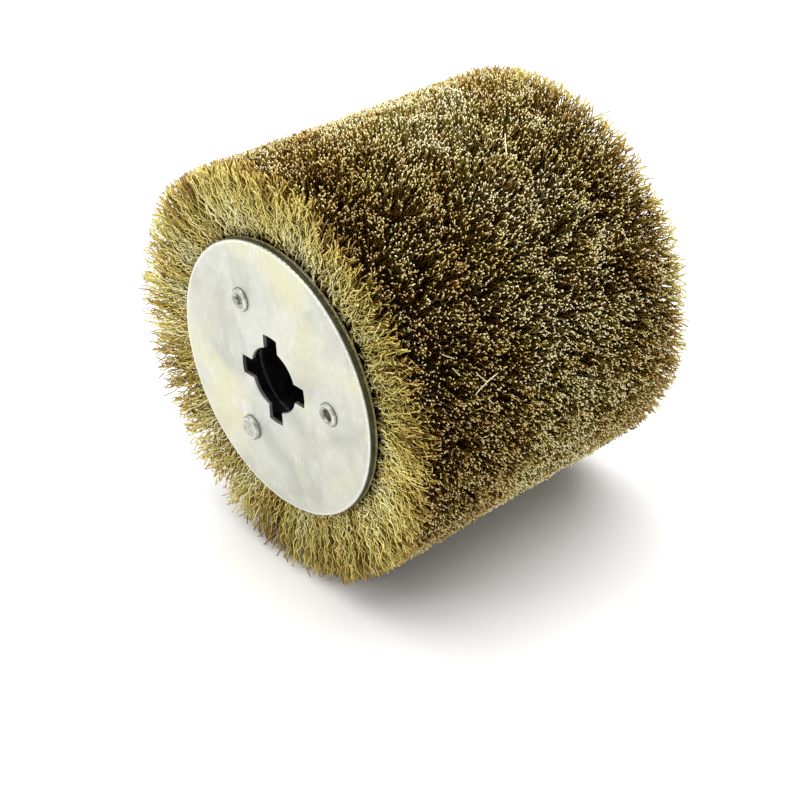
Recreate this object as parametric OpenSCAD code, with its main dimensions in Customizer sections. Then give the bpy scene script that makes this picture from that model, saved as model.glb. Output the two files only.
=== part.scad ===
// Wire drum brush for a satin-finishing machine.
// Crimped wire sections sit side by side on a plastic core, and three long
// rivets clamp them between two steel end plates with a keyed spindle bore.
// The drum lies on its side: its axis is Y, its front end faces -Y, Z is up,
// and the origin is the drum's centre.

/* [Brush] */
// Diameter over the wire tips
brush_d = 120; // [112:1:130]
// Width over the outer faces of the two end plates
brush_w = 100; // [80:1:120]
// Number of brush sections side by side on the core
section_count = 7; // [5:1:8]
// How far the outermost wires stand past the face of an end plate
end_flare = 2; // [0.5:0.1:3]
// Radius of the rounded corner between the end wires and the tread
corner_r = 3; // [1:0.2:5]
// Gap between an end plate's rim and the wires that pass it
rim_gap = 0.8; // [0.4:0.1:1.5]

/* [End plates] */
// Diameter of an end plate
plate_d = 80; // [76:1:88]
// Depth of an end plate over its turned-back rim
plate_t = 2.5; // [2:0.1:3]
// Sheet thickness of an end plate
sheet_t = 1.1; // [0.8:0.1:1.5]
// Radius of the rolled edge round an end plate's outer face
plate_edge_r = 0.5; // [0.3:0.1:1]
// Depth of the small bevel round the bore on the outer face
bore_bevel = 0.2; // [0.1:0.05:0.4]

/* [Spindle bore] */
// Diameter of the bore that rides on the spindle
bore_d = 19; // [18:0.5:20]
// Number of keyways round the bore
key_count = 4; // [2:1:6]
// Width of a keyway
key_w = 5.8; // [4:0.1:7]
// Distance from the drum's axis to the rounded floor of a keyway
key_floor_r = 13.5; // [12:0.1:13.6]

/* [Core] */
// Outer diameter of the core tube and its flanges
core_d = 60; // [59:0.5:60]
// Wall of the core tube
core_wall = 2.4; // [1.8:0.1:2.6]
// Thickness of the flange at each end of the core, inside the brush sections
flange_t = 4; // [3:0.5:5]
// Radius of the opening in a flange
flange_bore_r = 14.4; // [14:0.1:14.8]
// Radius of the opening through the spindle sleeve
sleeve_bore_r = 13.8; // [13.7:0.1:14]
// Outer radius of the spindle sleeve
sleeve_r = 16; // [15.5:0.1:16.5]
// Length of the locating collars on a flange
collar_l = 3; // [2:0.5:5]

/* [Rivets] */
// Number of rivets
rivet_count = 3; // [3:1:3]
// Diameter of the circle that the rivets stand on
rivet_pcd = 47; // [46:0.5:47]
// Diameter of a rivet's shank
rivet_d = 5; // [4:0.2:5]
// Diameter of a rivet's head
head_d = 7.4; // [6.5:0.1:8]
// Height of a rivet's head
head_h = 1.4; // [1:0.1:1.6]
// Radius of the rounded shoulder of a rivet's head
head_edge_r = 0.9; // [0.4:0.1:1]
// Diameter over the rolled end of a rivet
rolled_d = 7; // [6:0.1:7.5]
// Height of the rolled end of a rivet
rolled_h = 0.9; // [0.5:0.1:1.2]
// Diameter of the hollow in the rolled end
hollow_d = 3.4; // [2.5:0.1:3.6]
// Depth of the hollow in the rolled end
hollow_l = 9; // [5:0.5:20]

/* [Wire sections] */
// Sheet thickness of a retaining channel
channel_t = 0.8; // [0.6:0.1:1]
// Outer radius of a retaining channel's side walls
channel_r = 37.5; // [36:0.5:38]
// Diameter of the anchor wire that the bristle wires are folded round
anchor_d = 2.4; // [2:0.2:3]
// Radius of the ring that the anchor wire forms
anchor_r = 33; // [32.5:0.1:33.2]

/* [Hidden] */

$fn = 96;
slip = 0.1;                                // clearance between assembled pieces
past = 1;                                  // how far a cutter runs past a face
face_z = brush_w / 2;                      // outer face of an end plate
sheet_z = face_z - sheet_t;                // inner face of an end plate's sheet
seat_z = face_z - plate_t;                 // inner edge of an end plate's rim
tube_z = seat_z - flange_t;                // end of the core tube and the sleeve
brush_r = brush_d / 2;
plate_r = plate_d / 2;
bore_r = bore_d / 2;
core_r = core_d / 2;
core_bore_r = core_r - core_wall;
rivet_r = rivet_d / 2;
pitch = 2 * seat_z / section_count;        // width of one brush section
channel_w = pitch - slip;
fill_w = channel_w - 2 * channel_t - 2 * slip;
fill_r = anchor_r + anchor_d / 2 + slip;   // innermost radius of the bristle fill
collar_wall = 1.4;

zinc = [0.83, 0.84, 0.80];
black = [0.05, 0.05, 0.055];
rivet_grey = [0.74, 0.74, 0.71];
channel_grey = [0.55, 0.56, 0.57];
anchor_grey = [0.42, 0.42, 0.43];
brass_light = [0.66, 0.54, 0.27];
brass_dark = [0.55, 0.43, 0.19];

// Lays the drum down: its axis, drawn along +Z here, comes to point at the front, -Y.
module along_axis() {
    rotate([90, 0, 0]) children();
}

// Draws its children at the front end, or turned half round to stand at the rear end.
module at_end(front) {
    rotate([front ? 0 : 180, 0, 0]) children();
}

// Repeats its children round the drum's axis.
module round_the_axis(count) {
    for (i = [0:count - 1]) rotate([0, 0, i * 360 / count]) children();
}

// Centre line of each rivet.
module at_rivets() {
    round_the_axis(rivet_count) translate([rivet_pcd / 2, 0, 0]) children();
}

// Cutter for the rivet holes of a piece that reaches from z_low to z_high.
module rivet_holes(z_low, z_high) {
    at_rivets() translate([0, 0, z_low - past])
        cylinder(h = z_high - z_low + 2 * past, r = rivet_r + slip, $fn = 32);
}

// Cutter for the keyed bore: a round bore with straight-sided keyways.
module keyed_bore() {
    translate([0, 0, seat_z - past]) {
        cylinder(h = plate_t + 2 * past, r = bore_r);
        round_the_axis(key_count) intersection() {
            translate([0, -key_w / 2, 0]) cube([2 * key_floor_r, key_w, plate_t + 2 * past]);
            cylinder(h = plate_t + 2 * past, r = key_floor_r);
        }
    }
    translate([0, 0, face_z - bore_bevel])
        cylinder(h = 2 * bore_bevel, r1 = bore_r, r2 = bore_r + 2 * bore_bevel);
}

// Disc from z_low to z_high with its top edge rounded.
module eased_disc(z_low, z_high, r, edge_r) {
    translate([0, 0, z_low]) cylinder(h = z_high - z_low - edge_r, r = r);
    translate([0, 0, z_low]) cylinder(h = z_high - z_low, r = r - edge_r);
    translate([0, 0, z_high - edge_r])
        rotate_extrude() translate([r - edge_r, 0]) circle(r = edge_r, $fn = 48);
}

// Sheet steel end plate: a shallow cup with a rolled edge and a turned-back rim.
module end_plate(front) {
    color(zinc) along_axis() at_end(front) difference() {
        eased_disc(seat_z, face_z, plate_r, plate_edge_r);
        translate([0, 0, seat_z - past])
            cylinder(h = plate_t - sheet_t + past, r = plate_r - sheet_t);
        keyed_bore();
        rivet_holes(sheet_z, face_z);
    }
}

// Plastic flange that an end plate is clamped against, with collars that centre the
// core tube and the spindle sleeve.
module core_flange(front) {
    color(black) along_axis() at_end(front) difference() {
        union() {
            translate([0, 0, tube_z]) cylinder(h = sheet_z - tube_z, r = core_r);
            translate([0, 0, tube_z - collar_l]) cylinder(h = collar_l + past, r = core_bore_r - slip);
        }
        translate([0, 0, tube_z - collar_l - past])
            cylinder(h = sheet_z - tube_z + collar_l + 2 * past, r = flange_bore_r);
        translate([0, 0, tube_z - collar_l - past]) cylinder(h = collar_l + past, r = sleeve_r + slip);
        translate([0, 0, tube_z - collar_l - past]) difference() {
            cylinder(h = collar_l + past, r = core_bore_r - collar_wall);
            cylinder(h = collar_l + past, r = sleeve_r + collar_wall);
        }
        rivet_holes(tube_z - collar_l, sheet_z);
    }
}

// Plastic tube that carries the brush sections.
module core_tube() {
    color(black) along_axis() difference() {
        cylinder(h = 2 * tube_z, r = core_r - slip / 2, center = true);
        cylinder(h = 2 * tube_z + 2 * past, r = core_bore_r, center = true);
    }
}

// Plastic sleeve round the spindle's path, with eased edges at both ends of its bore.
module spindle_sleeve() {
    ease = 0.4;
    color(black) along_axis() rotate_extrude() polygon([
        [sleeve_bore_r + ease, -tube_z], [sleeve_r, -tube_z],
        [sleeve_r, tube_z], [sleeve_bore_r + ease, tube_z],
        [sleeve_bore_r, tube_z - ease], [sleeve_bore_r, ease - tube_z]]);
}

// Semi-tubular rivet: a low rounded head at one end, a rolled hollow lip at the other.
module rivet(index) {
    head_in_front = index == rivet_count;
    roll_r = rolled_h;
    color(rivet_grey) along_axis() rotate([0, 0, (index - 1) * 360 / rivet_count])
        translate([rivet_pcd / 2, 0, 0]) at_end(head_in_front) difference() {
            union() {
                translate([0, 0, -face_z]) cylinder(h = 2 * face_z, r = rivet_r, $fn = 48);
                eased_disc(face_z, face_z + head_h, head_d / 2, head_edge_r, $fn = 48);
                intersection() {
                    translate([0, 0, -face_z]) rotate_extrude()
                        translate([rolled_d / 2 - roll_r, 0]) circle(r = roll_r, $fn = 32);
                    translate([0, 0, -face_z - 2 * roll_r])
                        cylinder(h = 2 * roll_r, r = rolled_d, $fn = 48);
                }
            }
            translate([0, 0, -face_z - 2 * roll_r])
                cylinder(h = hollow_l + 2 * roll_r, r = hollow_d / 2, $fn = 32);
        }
}

// Place of a section's middle along the axis. Section 1 is at the front.
function section_z(index) = seat_z - (index - 0.5) * pitch;

// U-shaped steel ring, open outwards, that grips the folded wires.
module channel_ring(index) {
    color(channel_grey) along_axis() translate([0, 0, section_z(index)]) rotate_extrude() polygon([
        [core_r + slip, -channel_w / 2], [channel_r, -channel_w / 2],
        [channel_r, channel_t - channel_w / 2], [core_r + slip + channel_t, channel_t - channel_w / 2],
        [core_r + slip + channel_t, channel_w / 2 - channel_t], [channel_r, channel_w / 2 - channel_t],
        [channel_r, channel_w / 2], [core_r + slip, channel_w / 2]]);
}

// Ring of thick wire in the channel, which the bristle wires are folded round.
module anchor_wire(index) {
    color(anchor_grey) along_axis() translate([0, 0, section_z(index)])
        rotate_extrude() translate([anchor_r, 0]) circle(r = anchor_d / 2, $fn = 32);
}

// Half profile of a section's bristle fill on a side that meets the next section.
// Points are [radius, distance from the section's middle], from the inside out.
function plain_side() = [
    [fill_r, fill_w / 2],
    [channel_r + slip, fill_w / 2],
    [channel_r + 1, channel_w / 2],
    [brush_r, channel_w / 2]];

// The same on the side next to an end plate: the wires come straight out behind
// the plate's rim, lean outwards past its face and turn into the tread.
function flared_side() =
    let (crest = pitch / 2 + plate_t + end_flare - corner_r,
         crest_r = brush_r - corner_r)
    concat(
        [[fill_r, fill_w / 2], [plate_r + rim_gap, fill_w / 2]],
        [for (a = [75:-15:0]) [crest_r + corner_r * cos(a), crest + corner_r * sin(a)]]);

// A side's points on the other half of the section, in the opposite order.
function turned_over(side) = [for (i = [len(side) - 1:-1:0]) [side[i][0], -side[i][1]]];

// The space that one section's bristle wires fill.
module bristle_section(index) {
    front_side = index == 1 ? flared_side() : plain_side();
    rear_side = index == section_count ? flared_side() : plain_side();
    color(index % 2 == 1 ? brass_light : brass_dark) along_axis()
        translate([0, 0, section_z(index)]) rotate_extrude()
            polygon(concat(front_side, turned_over(rear_side)));
}

end_plate(true);  // end_plate_front
end_plate(false);  // end_plate_rear
core_flange(true);  // core_flange_front
core_flange(false);  // core_flange_rear
core_tube();
spindle_sleeve();
for (i = [1:rivet_count]) {
    rivet(i);
}
for (i = [1:section_count]) {
    channel_ring(i);
    anchor_wire(i);
    bristle_section(i);
}
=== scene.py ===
import bpy
import numpy as np
from mathutils import Matrix, Vector


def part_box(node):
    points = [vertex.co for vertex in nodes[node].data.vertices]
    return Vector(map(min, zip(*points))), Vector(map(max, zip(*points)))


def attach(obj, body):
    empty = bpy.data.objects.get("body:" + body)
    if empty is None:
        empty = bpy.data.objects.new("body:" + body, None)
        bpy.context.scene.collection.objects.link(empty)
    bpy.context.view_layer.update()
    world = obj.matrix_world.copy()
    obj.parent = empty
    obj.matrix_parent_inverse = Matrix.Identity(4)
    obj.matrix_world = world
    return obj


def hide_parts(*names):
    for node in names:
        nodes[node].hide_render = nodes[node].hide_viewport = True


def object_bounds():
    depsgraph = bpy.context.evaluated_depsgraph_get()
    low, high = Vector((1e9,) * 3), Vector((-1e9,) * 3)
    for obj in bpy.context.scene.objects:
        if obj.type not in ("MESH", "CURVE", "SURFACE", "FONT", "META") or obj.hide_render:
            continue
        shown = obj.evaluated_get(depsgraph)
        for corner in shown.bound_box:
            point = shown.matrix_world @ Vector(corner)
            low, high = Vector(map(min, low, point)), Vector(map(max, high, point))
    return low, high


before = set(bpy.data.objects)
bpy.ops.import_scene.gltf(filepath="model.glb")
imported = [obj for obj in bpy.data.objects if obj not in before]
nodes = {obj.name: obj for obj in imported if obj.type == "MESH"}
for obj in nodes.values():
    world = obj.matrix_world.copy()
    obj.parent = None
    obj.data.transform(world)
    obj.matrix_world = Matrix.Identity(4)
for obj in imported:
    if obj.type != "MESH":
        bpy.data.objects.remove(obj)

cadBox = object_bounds()
mm = 0.001
turnRound = 2 * np.pi
sectionCount = sum(name.startswith("bristle_section_") for name in nodes)
plateLow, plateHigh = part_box("end_plate_front")
plateFace = -plateLow.y                 # how far the plates' outer faces are from the middle
plateBack = -plateHigh.y                # and their inner faces
plateRadius = plateHigh.x
brushRadius = cadBox[1].z
endCrest = -cadBox[0].y                 # how far the outermost wires reach along Y
endRound = 3 * mm                       # radius of the rounded corner at the ends of the tread


# camera
cameraLook = {
    "azimuth": 48.2,                    # degrees round from the drum's front
    "elevation": 34.4,                  # degrees above the floor
    "drumTurn": 2.6,                    # degrees that the keyways are turned about the axis
    "distance": 431 * mm,
    "aimRight": 3.1 * mm,               # how far the drum's centre lies right of the view's middle
    "aimUp": 24.0 * mm,
    "lens": 67.5,
}


def placeCamera(look):
    a, e = np.radians(look["azimuth"]), np.radians(look["elevation"])
    back = Vector((np.sin(a) * np.cos(e), -np.cos(a) * np.cos(e), np.sin(e)))
    right = Vector((np.cos(a), np.sin(a), 0))
    up = back.cross(right)
    place = back * look["distance"] - right * look["aimRight"] - up * look["aimUp"]
    pose = Matrix((right, up, back)).transposed().to_4x4()
    pose.translation = place
    data = bpy.data.cameras.new("camera")
    data.lens = look["lens"]
    data.sensor_width = 36
    data.clip_start = 0.01
    cam = bpy.data.objects.new("camera", data)
    cam.matrix_world = Matrix.Rotation(np.radians(look["drumTurn"]), 4, "Y") @ pose
    bpy.context.scene.collection.objects.link(cam)
    bpy.context.scene.camera = cam


placeCamera(cameraLook)
print("camera placed")


# floor and light
studioLook = {
    "floorSize": 3.0,
    "floorColour": (0.93, 0.93, 0.93, 1),
    "skyColour": (1.0, 1.0, 1.0, 1),
    "skyStrength": 0.65,
    # name: (place, size, power, colour)
    "lights": {
        "overhead": ((-0.36, 0.3, 1.2), 2.6, 43.0, (1.0, 0.99, 0.97)),
        "front": ((-0.5, -1.2, 0.7), 0.5, 3.5, (1.0, 1.0, 1.0)),
    },
}


def makeStudio(look):
    world = bpy.data.worlds.new("studio")
    world.use_nodes = True
    sky = world.node_tree.nodes["Background"]
    sky.inputs["Color"].default_value = look["skyColour"]
    sky.inputs["Strength"].default_value = look["skyStrength"]
    bpy.context.scene.world = world
    bpy.context.scene.view_settings.view_transform = "Standard"

    half = look["floorSize"]
    level = cadBox[0].z - 0.6 * mm
    mesh = bpy.data.meshes.new("floor")
    corners = [(-half, -half, level), (half, -half, level), (half, half, level), (-half, half, level)]
    mesh.from_pydata(corners, [], [(0, 1, 2, 3)])
    floor = bpy.data.objects.new("floor", mesh)
    bpy.context.scene.collection.objects.link(floor)
    paper = bpy.data.materials.new("floorPaper")
    paper.use_nodes = True
    shader = paper.node_tree.nodes["Principled BSDF"]
    shader.inputs["Base Color"].default_value = look["floorColour"]
    shader.inputs["Roughness"].default_value = 0.9
    mesh.materials.append(paper)

    for name, (place, size, power, colour) in look["lights"].items():
        data = bpy.data.lights.new(name, "AREA")
        data.size = size
        data.energy = power
        data.color = colour
        lamp = bpy.data.objects.new(name, data)
        lamp.location = place
        lamp.rotation_euler = (-Vector(place)).to_track_quat("-Z", "Y").to_euler()
        bpy.context.scene.collection.objects.link(lamp)


makeStudio(studioLook)
print("studio lit")


def unit(vectors):
    return vectors / np.linalg.norm(vectors, axis=-1, keepdims=True)


def putMesh(name, points, quads, triangles, values):
    # points, four-cornered and three-cornered faces and named values per point, as a smooth piece
    mesh = bpy.data.meshes.new(name)
    mesh.vertices.add(len(points))
    mesh.vertices.foreach_set("co", points.astype(np.float32).ravel())
    corners = np.concatenate([quads.ravel(), triangles.ravel()]).astype(np.int32)
    starts = np.concatenate([np.arange(len(quads)) * 4, quads.size + np.arange(len(triangles)) * 3])
    mesh.loops.add(len(corners))
    mesh.loops.foreach_set("vertex_index", corners)
    mesh.polygons.add(len(starts))
    mesh.polygons.foreach_set("loop_start", starts.astype(np.int32))
    mesh.update(calc_edges=True)
    mesh.shade_smooth()
    for key, numbers in values.items():
        layer = mesh.attributes.new(key, "FLOAT", "POINT")
        layer.data.foreach_set("value", numbers.astype(np.float32).ravel())
    piece = bpy.data.objects.new(name, mesh)
    bpy.context.scene.collection.objects.link(piece)
    return piece


def sumOfWaves(points, waveLength, seed):
    # value: the sum of 24 sine waves of about one length in random directions
    # slope: its gradient, scaled to be about as large as the value
    rng = np.random.default_rng(seed)
    count = 24
    direction = unit(rng.normal(size=(count, 3)))
    waves = direction * turnRound / (waveLength * rng.uniform(0.7, 1.5, (count, 1)))
    angle = points @ waves.T + rng.uniform(0, turnRound, count)
    size = np.sqrt(2 / count)
    return np.sin(angle).sum(1) * size, (np.cos(angle) @ waves) * size * waveLength / turnRound


def drumPoint(angle, radius, along):
    # a point at an angle from +X towards +Z round the drum's axis, at a radius, along Y
    return np.stack([radius * np.cos(angle), along, radius * np.sin(angle)], -1)


# Crimped wire. All the brush wires are drawn a little thicker than the real ones, because there
# are fewer of them.
wireLook = {
    "crimpLength": 3.5 * mm,
    "crimpLengths": (0.8, 1.25),        # times that length, from wire to wire
    "crimpHeight": 0.46 * mm,
    "crimpHeights": (0.6, 1.35),        # and times that height
    "crimpRound": 0.45,                 # the same wave a quarter turn on, which makes it a flat coil
    "wanderLength": 10 * mm,
    "wanderLengths": (0.8, 1.3),
    "wanderHeight": 0.45 * mm,
    "wanderRound": 0.5,
}


def crimpedWires(root, bend, tip, steps, piece, tone, warmth, rng):
    # steps: places of the rings from 0 at the root to 1 at the tip; piece: the settings of these wires
    # centre line: the quadratic curve from root by bend to tip, plus a short sine wave across it in
    # a direction of each wire's own, plus a longer and weaker one across both; a three-cornered
    # skin is carried along the line, widens at the cut end and is closed at both ends
    look = wireLook
    count, rings = len(root), len(steps)
    t = steps[None, :, None]
    centre = (1 - t) ** 2 * root[:, None] + 2 * t * (1 - t) * bend[:, None] + t * t * tip[:, None]
    run = np.linalg.norm(tip - root, axis=1)[:, None, None] * t
    heading = unit(tip - root)
    aside = unit(np.cross(heading, unit(rng.normal(size=(count, 3)))))[:, None]
    other = np.cross(heading[:, None], aside)
    each = (count, 1, 1)
    height = piece["crimp"] * look["crimpHeight"] * rng.uniform(*look["crimpHeights"], each)
    wave = turnRound * run / (look["crimpLength"] * rng.uniform(*look["crimpLengths"], each))
    wave += rng.uniform(0, turnRound, each)
    sway = turnRound * run / (look["wanderLength"] * rng.uniform(*look["wanderLengths"], each))
    sway += rng.uniform(0, turnRound, each)
    centre = centre + height * (np.sin(wave) * aside + look["crimpRound"] * np.cos(wave) * other)
    swing = piece["crimp"] * look["wanderHeight"] * t
    centre += swing * (np.sin(sway) * other + look["wanderRound"] * np.cos(sway) * aside)
    tangent = unit(np.gradient(centre, axis=1))
    sideA = unit(np.cross(tangent, other))
    sideB = np.cross(tangent, sideA)
    corner = np.arange(3) * turnRound / 3
    thick = piece["radius"] * (1 + piece["cutSwell"] * (steps == 1))[:, None, None]
    skin = centre[:, :, None] + thick * (
        np.cos(corner)[:, None] * sideA[:, :, None] + np.sin(corner)[:, None] * sideB[:, :, None])

    first = (np.arange(count) * rings * 3)[:, None, None]
    ring = (np.arange(rings - 1) * 3)[None, :, None]
    here, after = np.arange(3)[None, None], np.array([1, 2, 0])[None, None]
    quads = np.stack([first + ring + here, first + ring + after,
                      first + ring + 3 + after, first + ring + 3 + here], -1).reshape(-1, 4)
    ends = first[:, 0]
    last = ends + (rings - 1) * 3
    triangles = np.concatenate([np.hstack([ends, ends + 2, ends + 1]),
                                np.hstack([last, last + 1, last + 2])])
    along = np.tile(np.repeat(steps, 3), count)
    values = {"tone": np.repeat(tone, rings * 3), "warmth": np.repeat(warmth, rings * 3), "along": along}
    return skin.reshape(-1, 3), quads, triangles, values


def joined(*parts):
    # several (points, quads, triangles, values) as one
    offsets = np.cumsum([0] + [len(p[0]) for p in parts])
    return (np.concatenate([p[0] for p in parts]),
            np.concatenate([p[1] + o for p, o in zip(parts, offsets)]),
            np.concatenate([p[2] + o for p, o in zip(parts, offsets)]),
            {key: np.concatenate([p[3][key] for p in parts]) for key in parts[0][3]})


# How the brass varies: some sections are browner than others, partly in their own colour and partly as
# painted light and shade, and patches of each one differ too.
colourLook = {
    "patchLength": 13 * mm,
    "patchTone": 0.17,
    "wireTone": 0.20,
    "warmth": 0.25,                     # how orange the wires are on the whole
    "warmLength": 8 * mm,
    "patchWarmth": 0.34,
    "wireWarmth": 0.2,
    # the section tones are partly the sections' own colours and partly painted: dark front sections stand
    # for shade, pale middle ones for light on the top
    "sectionTone": np.array([0.14, 0.07, 0.40, 0.74, 0.76, 0.50, 0.22]),   # front to rear
    # painted light: the tone rises towards the upper side of the drum, where the light falls
    "roundTone": 0.14,                  # a slow wave round the axis, highest at roundTop
    "roundTop": 65,                     # degrees from +X towards +Z
    # painted light: the end wires are paler where light falls on them beside the plates; endFade and
    # endShares step it down into the tread
    "endTone": 0.90,                    # of the wires beside an end plate
    "endFade": 0.26,                    # of the tread's wires beside the end wires
    "endShares": [0.02, 0.34],          # of the end section: endTone turns into endFade between them
}


def wireTones(onDrum, middle, rng):
    # tone: the middle value, plus a slow wave round the axis that paints light on the upper side, plus a
    # patch wave, plus a random part for each wire
    # warmth: how orange a wire is, from a usual value, another patch wave and another random part
    look = colourLook
    patch = sumOfWaves(onDrum, look["patchLength"], 31)[0]
    warm = sumOfWaves(onDrum, look["warmLength"], 32)[0]
    angle = np.arctan2(onDrum[:, 2], onDrum[:, 0])
    middle = middle + look["roundTone"] * np.cos(angle - np.radians(look["roundTop"]))
    tone = middle + look["patchTone"] * patch + look["wireTone"] * rng.normal(size=len(onDrum))
    warmth = look["warmth"] + look["patchWarmth"] * warm + look["wireWarmth"] * rng.normal(size=len(onDrum))
    return np.clip(tone, 0, 1), np.clip(warmth, 0, 1)


def scatteredTips(tipGrid, angle, look, rng):
    # how far each tip is pulled aside: into tufts, into broad leaning areas, and at random,
    # with no part of it along the radius; and how far up in a tuft it is
    tuft, pull = sumOfWaves(tipGrid, look["tuftLength"], 5)
    sway = sumOfWaves(tipGrid, look["leanLength"], 6)[1]
    offset = look["tuftPull"] * pull + look["lean"] * sway
    offset = offset + look["scatter"] * rng.normal(size=tipGrid.shape)
    out = drumPoint(angle, 1, 0 * angle)
    return offset - (offset * out).sum(1, keepdims=True) * out, tuft


# tread wires
treadLook = {
    "spacing": 1.17 * mm,               # between neighbouring tips
    "rootRadius": 46.5 * mm,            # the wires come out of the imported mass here
    "depths": np.array([13.5, 9.0, 6.0, 4.2, 2.9, 1.8, 0.7, 0.0]) * mm,
    "tuftLength": 6.0 * mm,
    "tuftPull": 0.4 * mm,
    "leanLength": 16 * mm,
    "lean": 1.5 * mm,
    "scatter": 1.5 * mm,
    "raggedness": 0.3 * mm,
    "tuftRise": 0.8,                    # how much less ragged it is on top of a tuft
    "shortShare": 0.14,                 # of the wires are shorter, by this much
    "shortBy": (0.5, 3.0),              # in millimetres
    "rootSpread": 0.4,                  # how far the roots go the other way when the tips are pulled
    "bow": 0.25,                        # how far the middle of a wire bows out towards its tip's side
    "radius": 0.175 * mm,
    "crimp": 1.0,                       # times the usual height of the crimp
    "cutSwell": 0.35,                   # how much wider a wire is at its cut end
}


def treadWires(tipRange, rootRange, tones, seed):
    # tips on a jittered grid over the cylinder; roots straight below them, with their places
    # along Y brought from the tips' range into the roots' own
    look = treadLook
    rng = np.random.default_rng(seed)
    tipLow, tipHigh = tipRange
    rootLow, rootHigh = rootRange
    rows = max(1, round((tipHigh - tipLow) / look["spacing"]))
    columns = round(turnRound * brushRadius / look["spacing"])
    row, column = np.meshgrid(np.arange(rows), np.arange(columns), indexing="ij")
    row, column = row.ravel(), column.ravel()
    share = (row + rng.random(row.size)) / rows
    angle = (column + rng.random(row.size) + 0.5 * (row % 2)) / columns * turnRound
    y = tipLow + share * (tipHigh - tipLow)
    onDrum = drumPoint(angle, brushRadius, y)
    offset, tuft = scatteredTips(onDrum, angle, look, rng)
    ragged = 1 + np.abs(rng.normal(size=row.size)) - look["tuftRise"] * tuft
    reach = cornerRadius(y) - look["raggedness"] * ragged
    reach -= (rng.random(row.size) < look["shortShare"]) * rng.uniform(*look["shortBy"], row.size) * mm
    tip = drumPoint(angle, reach, y) + offset
    root = drumPoint(angle, look["rootRadius"], rootLow + share * (rootHigh - rootLow))
    root = root - look["rootSpread"] * offset
    bend = 0.5 * (root + tip) + look["bow"] * offset
    steps = 1 - look["depths"] / look["depths"][0]
    tone, warmth = wireTones(onDrum, np.interp(share, [0, 1], tones), rng)
    return crimpedWires(root, bend, tip, steps, look, tone, warmth, rng)


def cornerRadius(y):
    # radius of the tips at a place along Y: the drum's own, and a quarter circle at both ends
    past = np.clip(np.abs(y) - (endCrest - endRound), 0, endRound)
    return brushRadius - endRound + np.sqrt(endRound ** 2 - past ** 2)


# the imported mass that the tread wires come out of
ringLook = {
    "columns": 160,
    "inside": 40 * mm,                  # its inner radius
    "cover": 0.3 * mm,                  # how far it covers the wires' roots
    "cut": 0.8 * mm,                    # of its corners
    "warmth": 0.4,
    "back": 1.2 * mm,                   # how far it stays behind the end wires' roots
}


def rootRing(low, high, tone):
    # a closed profile of radius and place along Y with two cut corners, carried round the axis
    columns, cut, deep = ringLook["columns"], ringLook["cut"], ringLook["inside"]
    top = treadLook["rootRadius"] + ringLook["cover"]
    profile = np.array([(deep, low), (top - cut, low), (top, low + cut),
                        (top, high - cut), (top - cut, high), (deep, high)])
    rows = len(profile)
    angle = (np.arange(columns) / columns * turnRound)[:, None]
    points = drumPoint(angle, profile[None, :, 0], np.broadcast_to(profile[:, 1], (columns, rows)))
    column, row = np.meshgrid(np.arange(columns), np.arange(rows), indexing="ij")
    beside, above = (column + 1) % columns, (row + 1) % rows
    quads = np.stack([column * rows + row, column * rows + above,
                      beside * rows + above, beside * rows + row], -1).reshape(-1, 4)
    flat = np.zeros(columns * rows)
    # along 0 gives the ring the darkest painted root shade
    values = {"tone": flat + tone, "warmth": flat + ringLook["warmth"], "along": flat}
    return points.reshape(-1, 3), quads, np.zeros((0, 3), int), values


# end wires: the ones that are seen from root to tip beside an end plate
endLook = {
    "wires": 2400,                      # at each end
    "layers": 2,                        # pieces that they are split into
    "steps": 14,
    "share": 0.36,                      # of the end section, counted from its outer side
    "inset": 0.9 * mm,                  # of the roots from the channel's side walls
    "rootBack": 0.25 * mm,              # how far the outermost roots are behind that
    "rootRadius": 38 * mm,
    "bendRadius": 42 * mm,
    "bendOut": 1.6 * mm,                # how far the bend lies outwards of the root
    "tuftLength": 5.0 * mm,
    "tuftPull": 0.5 * mm,
    "leanLength": 18 * mm,
    "lean": 1.8 * mm,
    "scatter": 2.3 * mm,
    "alongY": 0.35,                     # times those three pulls along the drum's axis
    "reach": 0.3 * mm,                  # of the tips past the tread's
    "raggedness": 0.7 * mm,
    "shortShare": 0.25,                 # of the wires are shorter, by this much
    "shortBy": (0.5, 9),                # in millimetres
    "bow": 0.2,
    "warmth": 0.25,                     # times the tread wires' own
    "radius": 0.215 * mm,
    "crimp": 1.6,
    "cutSwell": 0,
    # place along the wire, and the place on a tread wire that has as much painted root shade there
    "darkening": ([0, 0.12, 0.3, 1], [0, 0.4, 0.75, 0.95]),
    # place along the wire, and how much lower its tone is there: the painted light fades towards the tip
    "tipFade": ([0.55, 1], [0, 0.36]),
}


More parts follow.
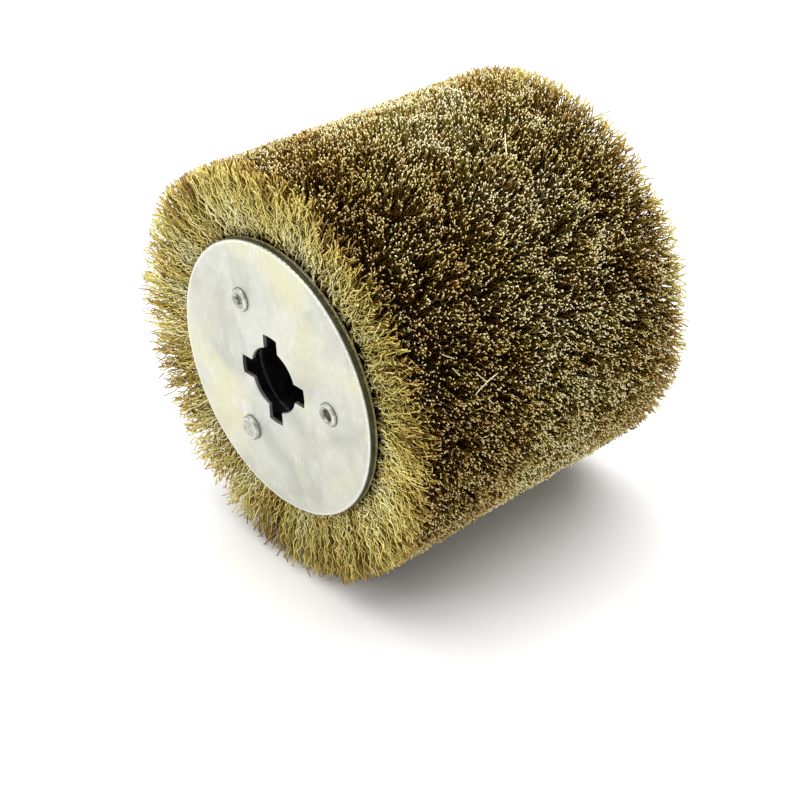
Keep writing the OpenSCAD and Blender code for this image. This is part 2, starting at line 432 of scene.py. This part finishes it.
def endWires(side, layer, tipRange, rootRange, seed):
    # wires that leave the channel behind the plate's rim and lean outwards past its face;
    # a wire's share says how far it is into the end section, both at its root and at its tip
    look = endLook
    rng = np.random.default_rng(seed)
    count = look["wires"] // look["layers"]
    share = (layer + rng.random(count)) / look["layers"] * look["share"]
    angle = (np.arange(count) + rng.random(count)) / count * turnRound
    tipY = tipRange[0] + share * (tipRange[1] - tipRange[0])
    rootY = rootRange[0] + share * (rootRange[1] - rootRange[0])
    onDrum = drumPoint(angle, brushRadius, side * tipY)
    offset = scatteredTips(onDrum, angle, look, rng)[0]
    offset[:, 1] *= look["alongY"]
    reach = cornerRadius(tipY) + look["reach"] - np.abs(rng.normal(size=count)) * look["raggedness"]
    short = (rng.random(count) < look["shortShare"]) * rng.uniform(*look["shortBy"], count) * mm
    lean = (tipY - rootY) / (brushRadius - look["bendRadius"])
    tip = drumPoint(angle, reach - short, side * (tipY - short * lean)) + offset
    root = drumPoint(angle, look["rootRadius"], side * rootY)
    bend = drumPoint(angle, look["bendRadius"], side * (rootY + look["bendOut"])) + look["bow"] * offset
    middle = np.interp(share, colourLook["endShares"], [colourLook["endTone"], colourLook["endFade"]])
    tone, warmth = wireTones(onDrum, middle, rng)
    steps = np.linspace(0, 1, look["steps"] + 1)
    wires = crimpedWires(root, bend, tip, steps, look, tone, look["warmth"] * warmth, rng)
    values = wires[3]
    # painted light on the end wires fades towards their tips
    values["tone"] = np.clip(values["tone"] - np.interp(values["along"], *look["tipFade"]), 0, 1)
    # painted root shade on the end wires, lighter than on the tread's
    values["along"] = np.interp(values["along"], *look["darkening"])
    return wires


# stray wires that have come loose and lie across the tread
strayLook = {
    # place round the drum in degrees and along Y in millimetres, for the two ends
    "places": [
        ((12.9, -31.2), (15.5, -22.9)),
        ((25.7, -38.2), (23.5, -34.9)),
        ((18.0, -29.5), (14.8, -27.0)),
        ((21.6, -36.3), (19.3, -34.8)),
        ((10.5, -27.2), (8.6, -25.8)),
        ((64, 12), (70, 17)),
        ((-30, 20), (-24, 14)),
        ((120, -20), (127, -26)),
        ((170, 5), (176, 11)),
        ((230, 30), (226, 22)),
        ((285, -12), (291, -5)),
        ((200, -34), (196, -28)),
    ],
    "lift": 0.4 * mm,                   # of both ends above the tips
    "sunk": 0.008,                      # how deep the first end is sunk, as a share of its radius
    "bow": 0.3 * mm,
    "steps": 8,
    "radius": 0.19 * mm,
    "crimp": 0.12,
    "cutSwell": 0,
}


def strayWires():
    # nearly straight wires between two places on the tips' cylinder
    rng = np.random.default_rng(77)
    place = np.array(strayLook["places"])
    angle, y = np.radians(place[..., 0]), place[..., 1] * mm
    ends = drumPoint(angle, brushRadius + strayLook["lift"], y)
    root, tip = ends[:, 0] * (1 - strayLook["sunk"]), ends[:, 1]
    bend = 0.5 * (root + tip) + strayLook["bow"] * rng.normal(size=root.shape)
    full = np.ones(len(root))
    steps = np.linspace(0, 1, strayLook["steps"] + 1)
    wires = crimpedWires(root, bend, tip, steps, strayLook, full, 0 * full, rng)
    # the whole wire gets the painted cut-end highlight and no painted root shade
    wires[3]["along"][:] = 1            # bright from end to end
    return wires


# material tools
def newMaterial(name):
    material = bpy.data.materials.new(name)
    material.use_nodes = True
    tree = material.node_tree
    return material, tree, tree.nodes["Principled BSDF"]


def fill(tree, socket, value):
    # puts a link or a plain value into a socket
    if isinstance(value, bpy.types.NodeSocket):
        tree.links.new(value, socket)
    else:
        socket.default_value = value


def calc(tree, operation, *values):
    node = tree.nodes.new("ShaderNodeMath")
    node.operation = operation
    for socket, value in zip(node.inputs, values):
        fill(tree, socket, value)
    return node.outputs[0]


def scaled(tree, value, startAndRange):
    # start + range * value
    start, size = startAndRange
    return calc(tree, "ADD", start, calc(tree, "MULTIPLY", value, size))


def blend(tree, factor, first, second, mode="MIX"):
    node = tree.nodes.new("ShaderNodeMix")
    node.data_type = "RGBA"
    node.blend_type = mode
    for name, value in (("Factor", factor), ("A", first), ("B", second)):
        socket = next(s for s in node.inputs if s.name == name and s.enabled)
        fill(tree, socket, (*value, 1) if isinstance(value, tuple) and len(value) == 3 else value)
    return next(s for s in node.outputs if s.enabled)


def smooth(tree, value, low, high):
    # 0 below low, 1 above high and a smooth step between; low may be the larger one
    node = tree.nodes.new("ShaderNodeMapRange")
    node.interpolation_type = "SMOOTHSTEP"
    for name, number in (("Value", value), ("From Min", low), ("From Max", high)):
        fill(tree, node.inputs[name], number)
    return node.outputs["Result"]


def noise(tree, vector, scale, detail=4.0, distortion=0.0):
    node = tree.nodes.new("ShaderNodeTexNoise")
    values = {"Vector": vector, "Scale": scale, "Detail": detail, "Distortion": distortion}
    for name, value in values.items():
        fill(tree, node.inputs[name], value)
    return node.outputs["Fac"]


def stretched(tree, vector, scale, turn=(0, 0, 0)):
    node = tree.nodes.new("ShaderNodeMapping")
    node.inputs["Rotation"].default_value = turn
    node.inputs["Scale"].default_value = scale
    tree.links.new(vector, node.inputs["Vector"])
    return node.outputs["Vector"]


def ramp(tree, factor, stops):
    node = tree.nodes.new("ShaderNodeValToRGB")
    elements = node.color_ramp.elements
    while len(elements) < len(stops):
        elements.new(0.5)
    for element, (place, colour) in zip(elements, stops):
        element.position = place
        element.color = (*colour, 1)
    tree.links.new(factor, node.inputs["Fac"])
    return node.outputs["Color"]


def attribute(tree, name):
    node = tree.nodes.new("ShaderNodeAttribute")
    node.attribute_name = name
    return node.outputs["Fac"]


def placeInMm(tree, centre=(0, 0, 0)):
    # Object coordinates in millimetres, counted from a centre that is given in metres
    texture = tree.nodes.new("ShaderNodeTexCoord")
    node = tree.nodes.new("ShaderNodeMapping")
    node.vector_type = "POINT"
    node.inputs["Location"].default_value = tuple(-1000 * c for c in centre)
    node.inputs["Scale"].default_value = (1000, 1000, 1000)
    tree.links.new(texture.outputs["Object"], node.inputs["Vector"])
    return node.outputs["Vector"]


def polar(tree, place):
    # distance from the Y axis and place along it
    parts = tree.nodes.new("ShaderNodeSeparateXYZ")
    tree.links.new(place, parts.inputs[0])
    x, y, z = parts.outputs
    square = calc(tree, "ADD", calc(tree, "MULTIPLY", x, x), calc(tree, "MULTIPLY", z, z))
    return calc(tree, "SQRT", square), y


def bump(tree, height, strength, distance):
    node = tree.nodes.new("ShaderNodeBump")
    node.inputs["Strength"].default_value = strength
    node.inputs["Distance"].default_value = distance
    tree.links.new(height, node.inputs["Height"])
    return node.outputs["Normal"]


def newGroup(name, inputs, outputs):
    group = bpy.data.node_groups.new(name, "ShaderNodeTree")
    for label, kind, value in inputs:
        socket = group.interface.new_socket(label, in_out="INPUT", socket_type=kind)
        if value is not None:
            socket.default_value = value
    for label, kind in outputs:
        group.interface.new_socket(label, in_out="OUTPUT", socket_type=kind)
    return group, group.nodes.new("NodeGroupInput").outputs, group.nodes.new("NodeGroupOutput").inputs


def useGroup(tree, group, **values):
    node = tree.nodes.new("ShaderNodeGroup")
    node.node_tree = group
    for name, value in values.items():
        fill(tree, node.inputs[name], value)
    return node.outputs


floatSocket, vectorSocket = "NodeSocketFloat", "NodeSocketVector"


def makeClouds():
    # Cloud: noise of one size, bent by its own distortion, with its middle stretched to 0..1
    group, given, result = newGroup("clouds", [
        ("Place", vectorSocket, None), ("Size", floatSocket, 8.0), ("Contrast", floatSocket, 0.2)],
        [("Cloud", floatSocket)])
    scale = calc(group, "DIVIDE", 1.0, given["Size"])
    value = noise(group, given["Place"], scale, 6.0, 0.8)
    low = calc(group, "SUBTRACT", 0.5, given["Contrast"])
    high = calc(group, "ADD", 0.5, given["Contrast"])
    group.links.new(smooth(group, value, low, high), result["Cloud"])
    return group


def makeScratches():
    # Scratch: thin lines where noise that is drawn out along one direction crosses its middle value,
    # in two directions, kept only where a coarse cloud is high
    group, given, result = newGroup("scratches", [
        ("Place", vectorSocket, None), ("Width", floatSocket, 0.02), ("Amount", floatSocket, 0.5)],
        [("Scratch", floatSocket)])
    lines = None
    for turn, shift in ((0.5, 1.0), (-0.9, 1.4)):
        drawnOut = stretched(group, given["Place"], (0.9 * shift, 0.9, 0.035), (0, turn, 0))
        value = noise(group, drawnOut, 1.0, 2.0)
        off = calc(group, "ABSOLUTE", calc(group, "SUBTRACT", value, 0.5))
        line = smooth(group, off, given["Width"], 0.0)
        lines = line if lines is None else calc(group, "MAXIMUM", lines, line)
    patch = noise(group, given["Place"], 0.16, 3.0)
    limit = calc(group, "SUBTRACT", 1.0, given["Amount"])
    kept = smooth(group, patch, limit, calc(group, "ADD", limit, 0.12))
    group.links.new(calc(group, "MULTIPLY", lines, kept), result["Scratch"])
    return group


def makeEdgeWear():
    # Wear: 1 at an edge and 0 at Reach from it, with the distance shaken by fine noise
    group, given, result = newGroup("edgeWear", [
        ("Distance", floatSocket, 1.0), ("Reach", floatSocket, 0.5), ("Place", vectorSocket, None)],
        [("Wear", floatSocket)])
    shake = noise(group, given["Place"], 1.6, 5.0)
    spread = calc(group, "MULTIPLY", calc(group, "SUBTRACT", shake, 0.35), given["Reach"])
    away = calc(group, "ABSOLUTE", given["Distance"])
    away = calc(group, "ADD", away, calc(group, "MULTIPLY", spread, 2.0))
    group.links.new(smooth(group, away, given["Reach"], 0.0), result["Wear"])
    return group


def makeDust():
    # Dust: fine specks where sharp noise is high, more of them where a coarse cloud is high
    group, given, result = newGroup("dust", [
        ("Place", vectorSocket, None), ("Amount", floatSocket, 0.3)], [("Dust", floatSocket)])
    speck = noise(group, given["Place"], 3.5, 3.0)
    cloud = noise(group, given["Place"], 0.3, 3.0)
    both = calc(group, "ADD", speck, calc(group, "MULTIPLY", calc(group, "SUBTRACT", cloud, 0.5), 0.6))
    limit = calc(group, "SUBTRACT", 0.95, calc(group, "MULTIPLY", given["Amount"], 0.5))
    group.links.new(smooth(group, both, limit, calc(group, "ADD", limit, 0.12)), result["Dust"])
    return group


clouds, scratches, edgeWear, dust = makeClouds(), makeScratches(), makeEdgeWear(), makeDust()


# rivets with a rolled lip in front
rolledLook = {
    "columns": 60,
    "lipCentre": 2.6, "lipRound": 0.9,  # of the rolled lip, in millimetres, like all of these
    "shank": 2.5,
    "head": 3.7, "headHeight": 1.4, "headRound": 0.9,
    # rivet: lobes round its hollow, how deep they are, depth of the hollow
    "rivets": {"rivet_1": (3, 0.05, 1.5), "rivet_2": (5, 0.42, 0.5)},
}


def rolledRivet(lobes, lobeDepth, hollowDepth):
    # profile of radius and height over the plate's face: up the hollow's wall, over the lip in a
    # half circle, down the shank, round the head at the rear; carried round the rivet's axis, with
    # the hollow's side pulled in by lobes: radius * (1 - depth * inside * (1 + cos(lobes * angle)) / 2),
    # where inside is 1 in the hollow and falls to 0 at the top of the lip, and a slight shake of all
    look = rolledLook
    over = np.linspace(np.pi, 0, 11)
    shoulder = np.linspace(0, np.pi / 2, 5)
    hollow = look["lipCentre"] - look["lipRound"]
    far = -2 * plateFace / mm
    flat = look["head"] - look["headRound"]
    radius = np.concatenate([
        [0.8 * hollow, hollow, hollow], look["lipCentre"] + look["lipRound"] * np.cos(over),
        [look["shank"], look["shank"], look["head"]], flat + look["headRound"] * np.cos(shoulder)])
    height = np.concatenate([
        np.array([-1, -0.8, -0.3]) * hollowDepth, look["lipRound"] * np.sin(over),
        [0, far, far], far - look["headHeight"] + look["headRound"] * (1 - np.sin(shoulder))])
    inside = np.zeros(len(radius))
    inside[:3 + len(over)] = np.concatenate([[1, 1, 1], np.clip(-np.cos(over), 0, 1)])
    columns, rows = look["columns"], len(radius)
    angle = np.arange(columns)[:, None] / columns * turnRound
    shake = 0.35 * np.sin(2 * angle + 1) + 0.3 * np.sin(3 * angle + 4)
    lobe = (1 + np.cos(lobes * angle + 2 * shake)) / 2
    rho = radius * (1 - lobeDepth * inside * lobe) * (1 + 0.02 * shake * (inside > 0))
    up = height * (1 - 0.12 * lobeDepth * lobe * (height > 0))
    ring = np.stack([rho * np.cos(angle), -up - plateFace / mm, rho * np.sin(angle)], -1).reshape(-1, 3)
    poles = np.array([[0, hollowDepth - plateFace / mm, 0], [0, plateFace / mm + look["headHeight"], 0]])
    column, row = np.meshgrid(np.arange(columns), np.arange(rows - 1), indexing="ij")
    beside = (column + 1) % columns
    quads = np.stack([column * rows + row, column * rows + row + 1,
                      beside * rows + row + 1, beside * rows + row], -1).reshape(-1, 4)
    here = np.arange(columns)
    after = (here + 1) % columns
    full = np.full(columns, columns * rows)
    triangles = np.concatenate([np.stack([full, here * rows, after * rows], -1),
                                np.stack([full + 1, after * rows + rows - 1, here * rows + rows - 1], -1)])
    return np.concatenate([ring, poles]), quads, triangles


brassLook = {
    "coat": [(0.0, (0.34, 0.22, 0.07)), (0.3, (0.58, 0.44, 0.12)), (0.6, (0.79, 0.68, 0.22)),
             (0.85, (0.87, 0.81, 0.37)), (1.0, (0.89, 0.85, 0.52))],
    "orange": (0.64, 0.38, 0.09),
    # the cut-end colour is a painted highlight on the wires' pale cut ends
    "cutEnd": (0.96, 0.90, 0.66),
    # depth: painted shade that darkens the wires towards their roots, where the packed wires shade them
    "depth": [(0.0, (0.28, 0.21, 0.15)), (0.45, (0.59, 0.51, 0.41)), (0.75, (0.92, 0.88, 0.82)),
              (0.89, (1, 1, 1))],
    "roughness": (0.28, 0.16),          # where it is clean, and how much more where it is stained
    "orangeShare": 0.7,                 # of the warmth
    "cutFrom": (0.972, 0.99),           # places along the wire where the cut end starts and is full
    "cutShare": (0.2, 0.6),             # how bright it is at low tones, and how much more at high ones
    "cutPatch": (0.45, 0.75),           # times this outside the patches, and how much more in them
}


def brassWireMaterial():
    # colour: a ramp over tone, turned orange by warmth, darkened towards the root as painted shade, and
    # brightened at the cut end as a painted highlight, more so where the tone is high and in broad patches
    look = brassLook
    material, tree, shader = newMaterial("brassWire")
    coat = ramp(tree, attribute(tree, "tone"), look["coat"])
    warm = calc(tree, "MULTIPLY", attribute(tree, "warmth"), look["orangeShare"])
    coat = blend(tree, warm, coat, look["orange"])
    along = attribute(tree, "along")
    # painted shade towards the root
    coat = blend(tree, 1.0, coat, ramp(tree, along, look["depth"]), "MULTIPLY")
    high = smooth(tree, attribute(tree, "tone"), 0.1, 0.8)
    patch = useGroup(tree, clouds, Place=placeInMm(tree), Size=16.0, Contrast=0.12)["Cloud"]
    patch = scaled(tree, patch, look["cutPatch"])
    # painted highlight at the cut end, stronger at high tones and in broad patches
    shine = calc(tree, "MULTIPLY", scaled(tree, high, look["cutShare"]), patch)
    highlightAmount = calc(tree, "MULTIPLY", smooth(tree, along, *look["cutFrom"]), shine)
    coat = blend(tree, highlightAmount, coat, look["cutEnd"])
    tree.links.new(coat, shader.inputs["Base Color"])
    stain = useGroup(tree, clouds, Place=placeInMm(tree), Size=1.2, Contrast=0.2)["Cloud"]
    tree.links.new(scaled(tree, stain, look["roughness"]), shader.inputs["Roughness"])
    shader.inputs["Metallic"].default_value = 1.0
    return material


plateLook = {
    "grey": (0.41, 0.42, 0.385),
    "yellow": (0.585, 0.575, 0.385),
    "bloom": (0.66, 0.67, 0.62),
    "scratch": (0.82, 0.82, 0.79),
    # the burnished band's colour is a painted dark reflection on the rim's wall
    "burnished": (0.16, 0.175, 0.145),
    "torn": (0.66, 0.66, 0.60),
    "bloomShare": 0.8,                  # how strongly each of these shows
    "mottleShare": 0.22,
    "scratchShare": 0.4,
    "wornShare": 0.8,
    "roughness": (0.36, 0.14),          # where it is bare, and how much more under the bloom
    "tornDepth": 0.7,                   # of the rim's wall, at its inner side, in millimetres
}


def plateMaterial():
    # colour: grey zinc with yellowish clouds and a pale bloom, lighter in scratches and along the
    # worn rim; the rim's wall is a burnished band painted dark as a painted reflection, with a pale torn
    # band behind it
    look = plateLook
    material, tree, shader = newMaterial("zincPlate")
    place = placeInMm(tree)
    radius, y = polar(tree, place)
    cloud = useGroup(tree, clouds, Place=place, Size=27.0, Contrast=0.14)["Cloud"]
    colour = blend(tree, cloud, look["grey"], look["yellow"])
    bloom = useGroup(tree, clouds, Place=stretched(tree, place, (1, 1, 0.8), (0, 0.7, 0)),
                     Size=15.0, Contrast=0.16)["Cloud"]
    colour = blend(tree, calc(tree, "MULTIPLY", bloom, look["bloomShare"]), colour, look["bloom"])
    mottle = useGroup(tree, clouds, Place=place, Size=2.2, Contrast=0.2)["Cloud"]
    colour = blend(tree, calc(tree, "MULTIPLY", mottle, look["mottleShare"]), colour, look["grey"])
    scratch = useGroup(tree, scratches, Place=place, Width=0.014, Amount=0.5)["Scratch"]
    colour = blend(tree, calc(tree, "MULTIPLY", scratch, look["scratchShare"]), colour, look["scratch"])
    rim = calc(tree, "SUBTRACT", radius, plateRadius / mm - 0.55)
    worn = useGroup(tree, edgeWear, Distance=rim, Reach=0.9, Place=place)["Wear"]
    colour = blend(tree, calc(tree, "MULTIPLY", worn, look["wornShare"]), colour, look["scratch"])
    wall = smooth(tree, radius, plateRadius / mm - 0.25, plateRadius / mm - 0.06)
    depth = calc(tree, "SUBTRACT", calc(tree, "ABSOLUTE", y), plateBack / mm)
    torn = smooth(tree, depth, look["tornDepth"] + 0.1, look["tornDepth"] - 0.1)
    # painted dark reflection on the burnished band, pale torn band behind it
    colour = blend(tree, wall, colour, blend(tree, torn, look["burnished"], look["torn"]))
    tree.links.new(colour, shader.inputs["Base Color"])
    fine = noise(tree, place, 2.2, 4.0)
    rough = scaled(tree, bloom, look["roughness"])
    rough = scaled(tree, fine, (rough, 0.1))
    rough = scaled(tree, scratch, (rough, -0.12))
    tree.links.new(rough, shader.inputs["Roughness"])
    height = scaled(tree, scratch, (fine, -0.6))
    tree.links.new(bump(tree, height, 0.25, 0.06 * mm), shader.inputs["Normal"])
    shader.inputs["Metallic"].default_value = 1.0
    return material


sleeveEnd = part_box("spindle_sleeve")[1].y
plasticLook = {
    # the paler colour round the sleeve's ends is a painted highlight on its eased edge
    "rubbed": (0.12, 0.12, 0.125),
    "black": (0.008, 0.008, 0.009),
    "faded": (0.022, 0.022, 0.025),
    "dust": (0.16, 0.14, 0.11),
    "dustShare": 0.6,
    "roughness": (0.2, 0.14),           # where it is black, and how much more where it is faded
}


def plasticMaterial():
    # colour: black with slightly faded clouds and a little brass dust, with a painted highlight round the
    # ends of the sleeve; glossier where it is clean
    look = plasticLook
    material, tree, shader = newMaterial("blackPlastic")
    place = placeInMm(tree)
    cloud = useGroup(tree, clouds, Place=place, Size=5.0, Contrast=0.2)["Cloud"]
    specks = useGroup(tree, dust, Place=place, Amount=0.35)["Dust"]
    colour = blend(tree, cloud, look["black"], look["faded"])
    colour = blend(tree, calc(tree, "MULTIPLY", specks, look["dustShare"]), colour, look["dust"])
    y = polar(tree, place)[1]
    edge = calc(tree, "SUBTRACT", calc(tree, "ABSOLUTE", y), sleeveEnd / mm)
    # painted highlight round the ends of the sleeve
    rubbed = useGroup(tree, edgeWear, Distance=edge, Reach=0.45, Place=place)["Wear"]
    colour = blend(tree, rubbed, colour, look["rubbed"])
    tree.links.new(colour, shader.inputs["Base Color"])
    rough = scaled(tree, specks, (scaled(tree, cloud, look["roughness"]), 0.3))
    tree.links.new(rough, shader.inputs["Roughness"])
    tree.links.new(bump(tree, noise(tree, place, 1.5, 3.0), 0.15, 0.05 * mm), shader.inputs["Normal"])
    return material


rivetLook = {
    "steel": (0.50, 0.51, 0.48),
    "stain": (0.34, 0.33, 0.27),
    "worn": (0.80, 0.80, 0.77),
    # the crevice colour is painted shade round the rivet, beside the plate's face
    "crevice": (0.05, 0.045, 0.035),
    "creviceHeight": 0.34,              # above the plate's face, in millimetres
    "lipRadius": 2.9,                   # of the worn lip, in millimetres
    "wornShare": 0.8,
    "creviceShare": 0.85,
    "roughness": (0.3, 0.25),
}


def rivetMaterial(name, centre):
    # colour: clouded steel, worn along its lip, with painted shade in the crevice beside the plate's face
    look = rivetLook
    material, tree, shader = newMaterial(name)
    place = placeInMm(tree, centre)
    radius, y = polar(tree, place)
    cloud = useGroup(tree, clouds, Place=place, Size=1.6, Contrast=0.18)["Cloud"]
    colour = blend(tree, cloud, look["steel"], look["stain"])
    lipRadius = look["lipRadius"]
    lip = calc(tree, "SUBTRACT", radius, lipRadius)
    worn = useGroup(tree, edgeWear, Distance=lip, Reach=0.5, Place=place)["Wear"]
    colour = blend(tree, calc(tree, "MULTIPLY", worn, look["wornShare"]), colour, look["worn"])
    above = calc(tree, "SUBTRACT", calc(tree, "ABSOLUTE", y), plateFace / mm)
    outside = smooth(tree, radius, lipRadius - 0.2, lipRadius + 0.2)
    # painted shade in the crevice, outside the lip
    crevice = calc(tree, "MULTIPLY", smooth(tree, above, look["creviceHeight"], 0.0), outside)
    colour = blend(tree, calc(tree, "MULTIPLY", crevice, look["creviceShare"]), colour, look["crevice"])
    tree.links.new(colour, shader.inputs["Base Color"])
    fine = noise(tree, place, 3.0, 4.0)
    tree.links.new(scaled(tree, fine, look["roughness"]), shader.inputs["Roughness"])
    tree.links.new(bump(tree, fine, 0.3, 0.1 * mm), shader.inputs["Normal"])
    shader.inputs["Metallic"].default_value = 1.0
    return material


def hiddenSteelMaterial(name, light, dark, ringSize):
    # colour: rolling lines that run round the axis, from noise over the radius and Y, under oily clouds
    material, tree, shader = newMaterial(name)
    place = placeInMm(tree)
    radius, y = polar(tree, place)
    rings = tree.nodes.new("ShaderNodeCombineXYZ")
    tree.links.new(radius, rings.inputs["X"])
    tree.links.new(y, rings.inputs["Y"])
    line = noise(tree, rings.outputs[0], 1 / ringSize, 4.0)
    oil = useGroup(tree, clouds, Place=place, Size=7.0, Contrast=0.2)["Cloud"]
    colour = blend(tree, smooth(tree, line, 0.3, 0.7), dark, light)
    colour = blend(tree, calc(tree, "MULTIPLY", oil, 0.5), colour, dark)
    tree.links.new(colour, shader.inputs["Base Color"])
    tree.links.new(scaled(tree, line, (0.28, 0.3)), shader.inputs["Roughness"])
    tree.links.new(bump(tree, line, 0.2, 0.05 * mm), shader.inputs["Normal"])
    shader.inputs["Metallic"].default_value = 1.0
    return material


brass = brassWireMaterial()


def dress(start, material):
    for name in nodes:
        if name.startswith(start):
            for slot in nodes[name].material_slots:
                slot.material = material


dress("end_plate", plateMaterial())
dress(("core", "spindle"), plasticMaterial())
dress("channel", hiddenSteelMaterial("channelSteel", (0.55, 0.56, 0.57), (0.30, 0.30, 0.30), 0.5))
dress("anchor", hiddenSteelMaterial("anchorSteel", (0.42, 0.42, 0.43), (0.16, 0.15, 0.14), 0.3))
for name in [n for n in nodes if n.startswith("rivet_")]:
    low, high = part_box(name)
    middle = (low + high) / 2
    centre = np.array([middle.x, 0, middle.z])
    steel = rivetMaterial("steelOf" + name.title().replace("_", ""), tuple(centre))
    dress(name, steel)
    if name in rolledLook["rivets"]:
        points, quads, triangles = rolledRivet(*rolledLook["rivets"][name])
        piece = putMesh("rolled_" + name, points * mm + centre, quads, triangles, {})
        piece.data.materials.append(steel)
        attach(piece, "root")
        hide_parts(name)
print("materials and rivets made")


def finishWires(name, node, *parts):
    piece = putMesh(name, *joined(*parts))
    piece.data.materials.append(brass)
    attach(piece, "root")
    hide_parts(node)
    print(name, len(piece.data.polygons), "faces")


# the sections, from front to rear
for i in range(sectionCount):
    channelLow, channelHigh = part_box(f"channel_ring_{i + 1}")
    low, high = channelLow.y, channelHigh.y
    before, here, after = colourLook["sectionTone"][[max(i - 1, 0), i, min(i + 1, sectionCount - 1)]]
    tones = [(before + here) / 2, (here + after) / 2]
    tipRange, rootRange, ring = (low, high), (low, high), (low, high)
    node = f"bristle_section_{i + 1}"
    side = {0: -1, sectionCount - 1: 1}.get(i)
    if side:
        tones[0 if side < 0 else 1] = colourLook["endFade"]
        outer, inner = (low, high) if side < 0 else (high, low)
        inset, share = endLook["inset"], endLook["share"]
        endTips = (endCrest, abs(inner))
        endRoots = (abs(outer) - inset - endLook["rootBack"], abs(inner) + inset)
        seenTip = side * (endTips[0] + share * (endTips[1] - endTips[0]))
        seenRoot = side * (endRoots[0] + share * (endRoots[1] - endRoots[0]))
        tipRange, rootRange = sorted((seenTip, inner)), sorted((seenRoot, inner))
        ring = sorted((side * (endRoots[0] - ringLook["back"]), inner))
        for layer in range(endLook["layers"]):
            wires = endWires(side, layer, endTips, endRoots, 200 + 10 * i + layer)
            finishWires(f"end_wires_{i + 1}_{layer + 1}", node, wires)
    wires = treadWires(tipRange, rootRange, tones, 100 + i)
    # the root ring's tone is halved: painted shade on the packed roots
    finishWires(f"tread_wires_{i + 1}", node, rootRing(*ring, tones[0] * 0.5), wires)
finishWires("stray_wires", "bristle_section_2", strayWires())
